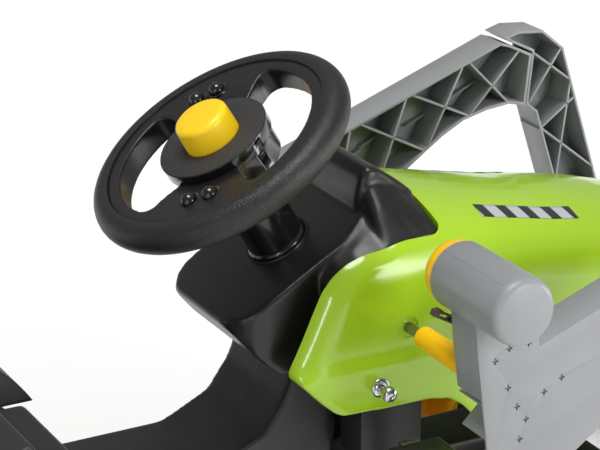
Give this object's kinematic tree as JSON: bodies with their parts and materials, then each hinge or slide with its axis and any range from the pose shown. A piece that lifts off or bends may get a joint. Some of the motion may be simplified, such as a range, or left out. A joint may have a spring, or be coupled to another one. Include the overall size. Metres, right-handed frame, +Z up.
{
  "type": "ride-on pedal digger",
  "caption": "Child's ride-on pedal tractor with steering wheel, chain drive and a front loader whose arms lift and whose digging bucket tips.",
  "frame": {"origin": "centre of the underside of the whole vehicle, on the ground", "axes": "+X forward, +Y to the rider's left, +Z up"},
  "size_m": [1.2, 0.632, 0.5738],
  "materials": {
    "black_plastic": "satin",
    "black_wheel": "leather grain satin",
    "black_gloss": "gloss",
    "lime": "gloss",
    "yellow": "satin",
    "steel": "zinc plated",
    "tyre": "matte",
    "grey": "satin",
    "brown": "satin",
    "charcoal": "satin",
    "lens": "clear"
  },
  "bodies": {
    "chassis": {"main_frame": "black_plastic", "dashboard_cowl": "black_plastic", "hood_shell": "lime", "front_grille": "black_plastic", "headlight_lenses": "lens", "loader_carrier": "black_plastic", "loader_axle": "steel", "loader_spacers": "yellow", "hood_bolts": "steel", "hood_washers": "steel", "chain": "steel", "chain_case": "black_plastic", "fender_left": "black_plastic", "fender_right": "black_plastic", "tow_hitch": "steel"},
    "seat": {"seat_plate": "black_plastic", "seat_shell": "black_plastic"},
    "steering": {"steering_wheel": "black_wheel", "hub_disc": "black_plastic", "hub_domes": "black_gloss", "steering_sleeve": "black_plastic", "steering_column": "steel", "drop_arm": "steel"},
    "horn": {"horn_button": "yellow"},
    "track_rods": {"tie_rods": "black_plastic"},
    "knuckle_left": {"steering_knuckle_left": "steel", "front_cap_left": "grey"},
    "knuckle_right": {"steering_knuckle_right": "steel", "front_cap_right": "grey"},
    "front_wheel_left": {"front_tyre_left": "tyre", "front_hub_left": "yellow"},
    "front_wheel_right": {"front_tyre_right": "tyre", "front_hub_right": "yellow"},
    "rear_drive": {"rear_axle": "steel", "rear_sprocket": "steel", "rear_axle_caps": "steel", "rear_tyre_left": "tyre", "rear_hub_left": "yellow"},
    "rear_wheel_right": {"rear_tyre_right": "tyre", "rear_hub_right": "yellow"},
    "crank": {"pedal_crank": "steel", "crank_sprocket": "steel"},
    "pedal_left": {"pedal_left": "black_plastic"},
    "pedal_right": {"pedal_right": "black_plastic"},
    "loader": {"loader_arm_left": "grey", "loader_arm_right": "grey", "front_leg_left": "grey", "front_leg_right": "grey", "elbow_bolts": "steel", "cross_tube": "grey", "handle_barrels": "grey", "handle_caps": "yellow", "trip_pins": "steel"},
    "trip_left": {"trip_lever_left": "brown"},
    "trip_right": {"trip_lever_right": "brown"},
    "bucket": {"bucket": "charcoal", "bucket_edge": "charcoal", "bucket_pins": "steel"},
    "hitch_pin": {"hitch_pin": "steel"}
  },
  "joints": [
    {"name": "steer", "type": "hinge", "parent": "chassis", "child": "steering", "pos_m": [-0.15, 0, 0.5], "axis": [-0.509, 0, 0.8607], "range_deg": [-30, 30]},
    {"name": "horn_press", "type": "slide", "parent": "steering", "child": "horn", "axis": [0.509, 0, -0.8607], "range_m": [0, 0.004], "stiffness_N_per_m": 600, "springref_m": -0.001},
    {"name": "track_rod_slide", "type": "slide", "parent": "chassis", "child": "track_rods", "axis": [0, 1, 0], "range_m": [-0.0173, 0.0173]},
    {"name": "kingpin_left", "type": "hinge", "parent": "chassis", "child": "knuckle_left", "pos_m": [0.215, 0.118, 0.095], "axis": [0, 0, 1], "range_deg": [-22, 22]},
    {"name": "kingpin_right", "type": "hinge", "parent": "chassis", "child": "knuckle_right", "pos_m": [0.215, -0.118, 0.095], "axis": [0, 0, 1], "range_deg": [-22, 22]},
    {"name": "front_spin_left", "type": "hinge", "parent": "knuckle_left", "child": "front_wheel_left", "pos_m": [0.215, 0.175, 0.095], "axis": [0, 1, 0], "continuous": true},
    {"name": "front_spin_right", "type": "hinge", "parent": "knuckle_right", "child": "front_wheel_right", "pos_m": [0.215, -0.175, 0.095], "axis": [0, 1, 0], "continuous": true},
    {"name": "rear_axle_spin", "type": "hinge", "parent": "chassis", "child": "rear_drive", "pos_m": [-0.43, 0, 0.145], "axis": [0, 1, 0], "continuous": true},
    {"name": "rear_spin_right", "type": "hinge", "parent": "chassis", "child": "rear_wheel_right", "pos_m": [-0.43, -0.2275, 0.145], "axis": [0, 1, 0], "continuous": true},
    {"name": "crank_spin", "type": "hinge", "parent": "chassis", "child": "crank", "pos_m": [-0.025, 0, 0.15], "axis": [0, 1, 0], "continuous": true},
    {"name": "pedal_left_spin", "type": "hinge", "parent": "crank", "child": "pedal_left", "pos_m": [-0.025, 0.178, 0.075], "axis": [0, 1, 0], "continuous": true},
    {"name": "pedal_right_spin", "type": "hinge", "parent": "crank", "child": "pedal_right", "pos_m": [-0.025, -0.178, 0.225], "axis": [0, 1, 0], "continuous": true},
    {"name": "seat_slide", "type": "slide", "parent": "chassis", "child": "seat", "axis": [1, 0, 0], "range_m": [-0.015, 0.03]},
    {"name": "loader_lift", "type": "hinge", "parent": "chassis", "child": "loader", "pos_m": [-0.018, 0, 0.342], "axis": [0, -1, 0], "range_deg": [0, 35]},
    {"name": "trip_left_pull", "type": "hinge", "parent": "loader", "child": "trip_left", "pos_m": [-0.015, 0.225, 0.388], "axis": [0, -1, 0], "range_deg": [0, 20], "stiffness_Nm_per_rad": 0.2, "springref_deg": -11.46},
    {"name": "trip_right_pull", "type": "hinge", "parent": "loader", "child": "trip_right", "pos_m": [-0.015, -0.225, 0.388], "axis": [0, -1, 0], "range_deg": [0, 20], "stiffness_Nm_per_rad": 0.2, "springref_deg": -11.46},
    {"name": "bucket_tilt", "type": "hinge", "parent": "loader", "child": "bucket", "pos_m": [0.48, 0, 0.105], "axis": [0, -1, 0], "range_deg": [-50, 20]},
    {"name": "hitch_pin_lift", "type": "slide", "parent": "chassis", "child": "hitch_pin", "axis": [0, 0, 1], "range_m": [0, 0.045]}
  ],
  "couplings": [
    {"joint": "track_rod_slide", "follows": "steer", "m_per_rad": -0.033},
    {"joint": "kingpin_left", "follows": "steer", "ratio": 0.73},
    {"joint": "kingpin_right", "follows": "steer", "ratio": 0.73},
    {"joint": "crank_spin", "follows": "rear_axle_spin", "ratio": 0.75}
  ]
}
